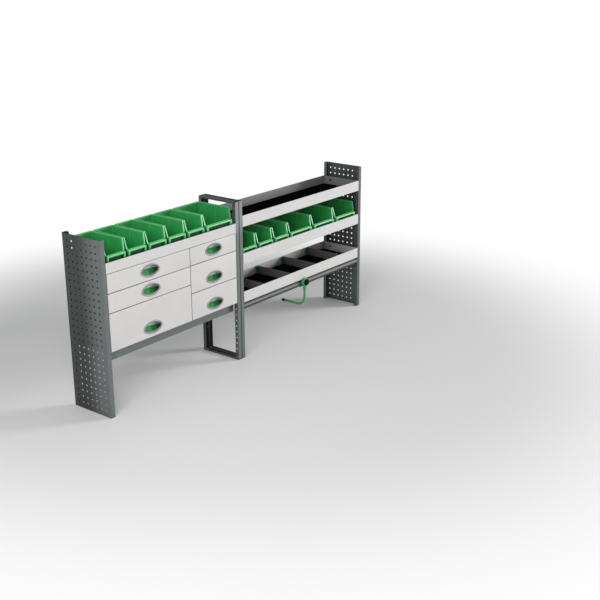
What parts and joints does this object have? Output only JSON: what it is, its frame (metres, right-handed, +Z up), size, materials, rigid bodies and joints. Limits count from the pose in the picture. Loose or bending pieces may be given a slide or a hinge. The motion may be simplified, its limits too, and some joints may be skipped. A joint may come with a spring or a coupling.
{
  "type": "van racking system",
  "caption": "Steel van racking with a drawer cabinet, open trays, removable storage bins, tray dividers and a sliding hook on a rail.",
  "frame": {"origin": "on the floor, under the middle of the racking's bounding box", "axes": "+X runs along the racking towards the open tray module, +Y towards the van wall behind it, +Z up"},
  "size_m": [2.4136, 0.3382, 1.026],
  "materials": {
    "frame_paint": "slate grey powder coat",
    "white_paint": "off-white powder coat",
    "grey_paint": "mid grey powder coat",
    "rail_paint": "grey painted tube",
    "zinc": "zinc plated",
    "mat_rubber": "black ribbed rubber",
    "bin_green": "moulded green plastic",
    "clip_green": "moulded green plastic",
    "paddle_green": "glossy green plastic",
    "hook_green": "green powder coat",
    "bezel_grey": "satin grey plastic",
    "black_plastic": "black moulded plastic"
  },
  "bodies": {
    "rack": {"left_panel": "frame_paint", "left_front_upright": "frame_paint", "left_back_upright": "frame_paint", "right_panel": "frame_paint", "right_front_upright": "frame_paint", "right_back_upright": "frame_paint", "middle_left_frame": "frame_paint", "middle_right_frame": "frame_paint", "frame_bolts": "zinc", "left_tray": "white_paint", "lower_tray": "white_paint", "bin_tray": "white_paint", "top_tray": "white_paint", "tray_mats": "mat_rubber", "divider_clips": "clip_green", "cabinet_sides": "white_paint", "cabinet_divider": "white_paint", "cabinet_back": "white_paint", "cabinet_base": "white_paint", "cabinet_plinth": "frame_paint", "drawer_runners": "zinc", "hook_rail": "rail_paint"},
    "drawer_1": {"drawer_1": "white_paint", "handle_bezel_1": "bezel_grey"},
    "paddle_1": {"latch_paddle_1": "paddle_green"},
    "drawer_2": {"drawer_2": "white_paint", "handle_bezel_2": "bezel_grey"},
    "paddle_2": {"latch_paddle_2": "paddle_green"},
    "drawer_3": {"drawer_3": "white_paint", "handle_bezel_3": "bezel_grey"},
    "paddle_3": {"latch_paddle_3": "paddle_green"},
    "drawer_4": {"drawer_4": "white_paint", "handle_bezel_4": "bezel_grey"},
    "paddle_4": {"latch_paddle_4": "paddle_green"},
    "drawer_5": {"drawer_5": "white_paint", "handle_bezel_5": "bezel_grey"},
    "paddle_5": {"latch_paddle_5": "paddle_green"},
    "drawer_6": {"drawer_6": "white_paint", "handle_bezel_6": "bezel_grey"},
    "paddle_6": {"latch_paddle_6": "paddle_green"},
    "left_bin_1": {"left_bin_1": "bin_green"},
    "left_bin_2": {"left_bin_2": "bin_green"},
    "left_bin_3": {"left_bin_3": "bin_green"},
    "left_bin_4": {"left_bin_4": "bin_green"},
    "left_bin_5": {"left_bin_5": "bin_green"},
    "left_bin_6": {"left_bin_6": "bin_green"},
    "right_bin_1": {"right_bin_1": "bin_green"},
    "right_bin_2": {"right_bin_2": "bin_green"},
    "right_bin_3": {"right_bin_3": "bin_green"},
    "right_bin_4": {"right_bin_4": "bin_green"},
    "right_bin_5": {"right_bin_5": "bin_green"},
    "right_bin_6": {"right_bin_6": "bin_green"},
    "divider_1": {"divider_1": "grey_paint"},
    "divider_2": {"divider_2": "grey_paint"},
    "divider_3": {"divider_3": "grey_paint"},
    "divider_4": {"divider_4": "grey_paint"},
    "hook": {"hook_clamp": "hook_green", "hook_rod": "hook_green", "hook_cap": "black_plastic"},
    "knob": {"hook_knob": "black_plastic"}
  },
  "joints": [
    {"name": "drawer_1_slide", "type": "slide", "parent": "rack", "child": "drawer_1", "axis": [0, -1, 0], "range_m": [0, 0.22]},
    {"name": "paddle_1_pivot", "type": "hinge", "parent": "drawer_1", "child": "paddle_1", "pos_m": [-0.8545, -0.12835, 0.7625], "axis": [1, 0, 0], "range_deg": [0, 14], "stiffness_Nm_per_rad": 0.25, "springref_deg": -11.46},
    {"name": "drawer_2_slide", "type": "slide", "parent": "rack", "child": "drawer_2", "axis": [0, -1, 0], "range_m": [0, 0.22]},
    {"name": "paddle_2_pivot", "type": "hinge", "parent": "drawer_2", "child": "paddle_2", "pos_m": [-0.8545, -0.12835, 0.65], "axis": [1, 0, 0], "range_deg": [0, 14], "stiffness_Nm_per_rad": 0.25, "springref_deg": -11.46},
    {"name": "drawer_3_slide", "type": "slide", "parent": "rack", "child": "drawer_3", "axis": [0, -1, 0], "range_m": [0, 0.22]},
    {"name": "paddle_3_pivot", "type": "hinge", "parent": "drawer_3", "child": "paddle_3", "pos_m": [-0.8545, -0.12835, 0.425], "axis": [1, 0, 0], "range_deg": [0, 14], "stiffness_Nm_per_rad": 0.25, "springref_deg": -11.46},
    {"name": "drawer_4_slide", "type": "slide", "parent": "rack", "child": "drawer_4", "axis": [0, -1, 0], "range_m": [0, 0.22]},
    {"name": "paddle_4_pivot", "type": "hinge", "parent": "drawer_4", "child": "paddle_4", "pos_m": [-0.33225, -0.12835, 0.76475], "axis": [1, 0, 0], "range_deg": [0, 14], "stiffness_Nm_per_rad": 0.25, "springref_deg": -11.46},
    {"name": "drawer_5_slide", "type": "slide", "parent": "rack", "child": "drawer_5", "axis": [0, -1, 0], "range_m": [0, 0.22]},
    {"name": "paddle_5_pivot", "type": "hinge", "parent": "drawer_5", "child": "paddle_5", "pos_m": [-0.33225, -0.12835, 0.59285], "axis": [1, 0, 0], "range_deg": [0, 14], "stiffness_Nm_per_rad": 0.25, "springref_deg": -11.46},
    {"name": "drawer_6_slide", "type": "slide", "parent": "rack", "child": "drawer_6", "axis": [0, -1, 0], "range_m": [0, 0.22]},
    {"name": "paddle_6_pivot", "type": "hinge", "parent": "drawer_6", "child": "paddle_6", "pos_m": [-0.33225, -0.12835, 0.425], "axis": [1, 0, 0], "range_deg": [0, 14], "stiffness_Nm_per_rad": 0.25, "springref_deg": -11.46},
    {"name": "left_bin_1_lift", "type": "slide", "parent": "rack", "child": "left_bin_1", "axis": [0, 0, 1], "range_m": [0, 0.2]},
    {"name": "left_bin_2_lift", "type": "slide", "parent": "rack", "child": "left_bin_2", "axis": [0, 0, 1], "range_m": [0, 0.2]},
    {"name": "left_bin_3_lift", "type": "slide", "parent": "rack", "child": "left_bin_3", "axis": [0, 0, 1], "range_m": [0, 0.2]},
    {"name": "left_bin_4_lift", "type": "slide", "parent": "rack", "child": "left_bin_4", "axis": [0, 0, 1], "range_m": [0, 0.2]},
    {"name": "left_bin_5_lift", "type": "slide", "parent": "rack", "child": "left_bin_5", "axis": [0, 0, 1], "range_m": [0, 0.2]},
    {"name": "left_bin_6_lift", "type": "slide", "parent": "rack", "child": "left_bin_6", "axis": [0, 0, 1], "range_m": [0, 0.2]},
    {"name": "right_bin_1_lift", "type": "slide", "parent": "rack", "child": "right_bin_1", "axis": [0, 0, 1], "range_m": [0, 0.08]},
    {"name": "right_bin_2_lift", "type": "slide", "parent": "rack", "child": "right_bin_2", "axis": [0, 0, 1], "range_m": [0, 0.08]},
    {"name": "right_bin_3_lift", "type": "slide", "parent": "rack", "child": "right_bin_3", "axis": [0, 0, 1], "range_m": [0, 0.08]},
    {"name": "right_bin_4_lift", "type": "slide", "parent": "rack", "child": "right_bin_4", "axis": [0, 0, 1], "range_m": [0, 0.08]},
    {"name": "right_bin_5_lift", "type": "slide", "parent": "rack", "child": "right_bin_5", "axis": [0, 0, 1], "range_m": [0, 0.08]},
    {"name": "right_bin_6_lift", "type": "slide", "parent": "rack", "child": "right_bin_6", "axis": [0, 0, 1], "range_m": [0, 0.08]},
    {"name": "divider_1_lift", "type": "slide", "parent": "rack", "child": "divider_1", "axis": [0, 0, 1], "range_m": [0, 0.1]},
    {"name": "divider_2_lift", "type": "slide", "parent": "rack", "child": "divider_2", "axis": [0, 0, 1], "range_m": [0, 0.1]},
    {"name": "divider_3_lift", "type": "slide", "parent": "rack", "child": "divider_3", "axis": [0, 0, 1], "range_m": [0, 0.1]},
    {"name": "divider_4_lift", "type": "slide", "parent": "rack", "child": "divider_4", "axis": [0, 0, 1], "range_m": [0, 0.1]},
    {"name": "hook_slide", "type": "slide", "parent": "rack", "child": "hook", "axis": [1, 0, 0], "range_m": [-0.55, 0.55]},
    {"name": "knob_turn", "type": "hinge", "parent": "hook", "child": "knob", "pos_m": [0.54325, -0.16315, 0.352], "axis": [0, 1, 0], "range_deg": [0, 360]}
  ]
}
